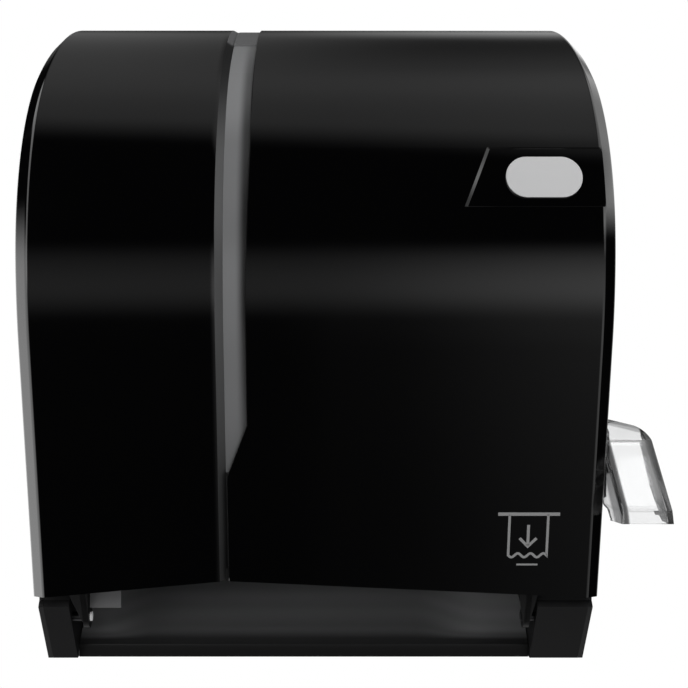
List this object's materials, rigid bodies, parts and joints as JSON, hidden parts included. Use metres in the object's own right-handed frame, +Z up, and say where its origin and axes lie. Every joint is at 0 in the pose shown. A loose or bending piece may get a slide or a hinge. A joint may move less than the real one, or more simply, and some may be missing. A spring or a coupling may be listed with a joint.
{
  "type": "lever paper towel dispenser",
  "caption": "Wall-hung paper towel roll dispenser with a drop-front gloss cover, a side push lever, a geared feed roller, a tear blade and a curved outlet chute.",
  "frame": {"origin": "on the wall plane, in the middle of the four wall screw slots", "axes": "+X to the viewer's right along the wall, +Y into the wall, +Z up"},
  "size_m": [0.333, 0.2275, 0.373],
  "materials": {
    "cover_black": "high gloss",
    "housing_black": "fine matte",
    "frame_grey": "fine matte",
    "guide_grey": "satin",
    "window_smoke": "smoky translucent",
    "badge_silver": "satin",
    "lever_clear": "smoky clear",
    "steel": "brushed",
    "lock_chrome": "polished",
    "zinc_screw": "zinc plated",
    "gear_white": "natural acetal",
    "gear_orange": "acetal",
    "bush_acetal": "acetal",
    "roller_grey": "moulded",
    "grip_rubber": "matte",
    "tyre_rubber": "matte",
    "stop_rubber": "matte",
    "spring_steel": "drawn wire",
    "brass": "turned",
    "hub_blue": "moulded"
  },
  "bodies": {
    "housing": {"rear_frame": "housing_black", "left_cheek": "housing_black", "right_cheek": "housing_black", "left_side_cover": "frame_grey", "gear_cover": "frame_grey", "chute": "housing_black", "paper_guide": "guide_grey", "tear_blade": "steel", "blade_screws": "zinc_screw", "guide_screws": "zinc_screw", "frame_screws": "zinc_screw", "gear_cover_screws": "zinc_screw", "side_cover_screws": "zinc_screw", "hinge_pins": "steel", "feed_bushes": "bush_acetal", "lever_bushes": "bush_acetal", "idler_pin": "steel", "pressure_springs": "spring_steel", "stop_buffers": "stop_rubber", "right_roll_arm": "roller_grey", "arm_screws": "zinc_screw", "left_arm_pin": "steel", "right_hub_screw": "zinc_screw"},
    "cover": {"front_cover": "cover_black", "window_strip": "window_smoke", "badge_plate": "badge_silver", "lock_sleeve": "lock_chrome", "lock_clip": "spring_steel"},
    "lock": {"lock_barrel": "lock_chrome", "lock_cam": "steel", "cam_screw": "zinc_screw"},
    "lever_arm": {"lever": "lever_clear", "lever_shaft": "steel", "lever_screw": "zinc_screw", "sector_gear": "gear_white", "return_spring": "spring_steel"},
    "idler": {"idler_gear": "gear_white"},
    "pinion": {"roller_pinion": "gear_orange", "one_way_clutch": "brass"},
    "feed": {"feed_roller": "roller_grey", "grip_sleeves": "grip_rubber", "feed_clips": "spring_steel"},
    "pressure": {"pressure_roller": "roller_grey", "pressure_tyres": "tyre_rubber"},
    "left_arm": {"left_roll_arm": "roller_grey", "arm_spring": "spring_steel", "left_hub_screw": "zinc_screw"},
    "hub_left": {"left_hub": "hub_blue"},
    "hub_right": {"right_hub": "hub_blue"}
  },
  "joints": [
    {"name": "cover_hinge", "type": "hinge", "parent": "housing", "child": "cover", "pos_m": [0, -0.17, -0.163], "axis": [1, 0, 0], "range_deg": [0, 100]},
    {"name": "lock_turn", "type": "hinge", "parent": "cover", "child": "lock", "pos_m": [0, -0.032, 0.18], "axis": [0, 0, 1], "range_deg": [0, 90]},
    {"name": "lever_pivot", "type": "hinge", "parent": "housing", "child": "lever_arm", "pos_m": [0, -0.157, -0.084], "axis": [1, 0, 0], "range_deg": [0, 48], "stiffness_Nm_per_rad": 0.6, "springref_deg": -28.65},
    {"name": "idler_spin", "type": "hinge", "parent": "housing", "child": "idler", "pos_m": [0, -0.11203, -0.08243], "axis": [1, 0, 0], "range_deg": [-192, 0]},
    {"name": "roller_pinion_spin", "type": "hinge", "parent": "housing", "child": "pinion", "pos_m": [0, -0.11026, -0.11613], "axis": [1, 0, 0], "range_deg": [0, 288]},
    {"name": "feed_roller_spin", "type": "hinge", "parent": "housing", "child": "feed", "pos_m": [0, -0.11026, -0.11613], "axis": [1, 0, 0], "range_deg": [0, 288]},
    {"name": "pressure_roller_spin", "type": "hinge", "parent": "housing", "child": "pressure", "pos_m": [0, -0.1401, -0.12139], "axis": [1, 0, 0], "range_deg": [-432, 0]},
    {"name": "left_arm_swing", "type": "hinge", "parent": "housing", "child": "left_arm", "pos_m": [-0.1142, -0.013, 0.06], "axis": [0, 0, -1], "range_deg": [0, 12], "stiffness_Nm_per_rad": 0.3, "springref_deg": -17.19},
    {"name": "left_hub_spin", "type": "hinge", "parent": "left_arm", "child": "hub_left", "pos_m": [-0.1, -0.112, 0.06], "axis": [1, 0, 0], "continuous": true},
    {"name": "right_hub_spin", "type": "hinge", "parent": "housing", "child": "hub_right", "pos_m": [0.09, -0.112, 0.06], "axis": [1, 0, 0], "continuous": true}
  ],
  "couplings": [
    {"joint": "idler_spin", "follows": "lever_pivot", "ratio": -4},
    {"joint": "roller_pinion_spin", "follows": "lever_pivot", "ratio": 6},
    {"joint": "feed_roller_spin", "follows": "lever_pivot", "ratio": 6},
    {"joint": "pressure_roller_spin", "follows": "lever_pivot", "ratio": -9}
  ]
}
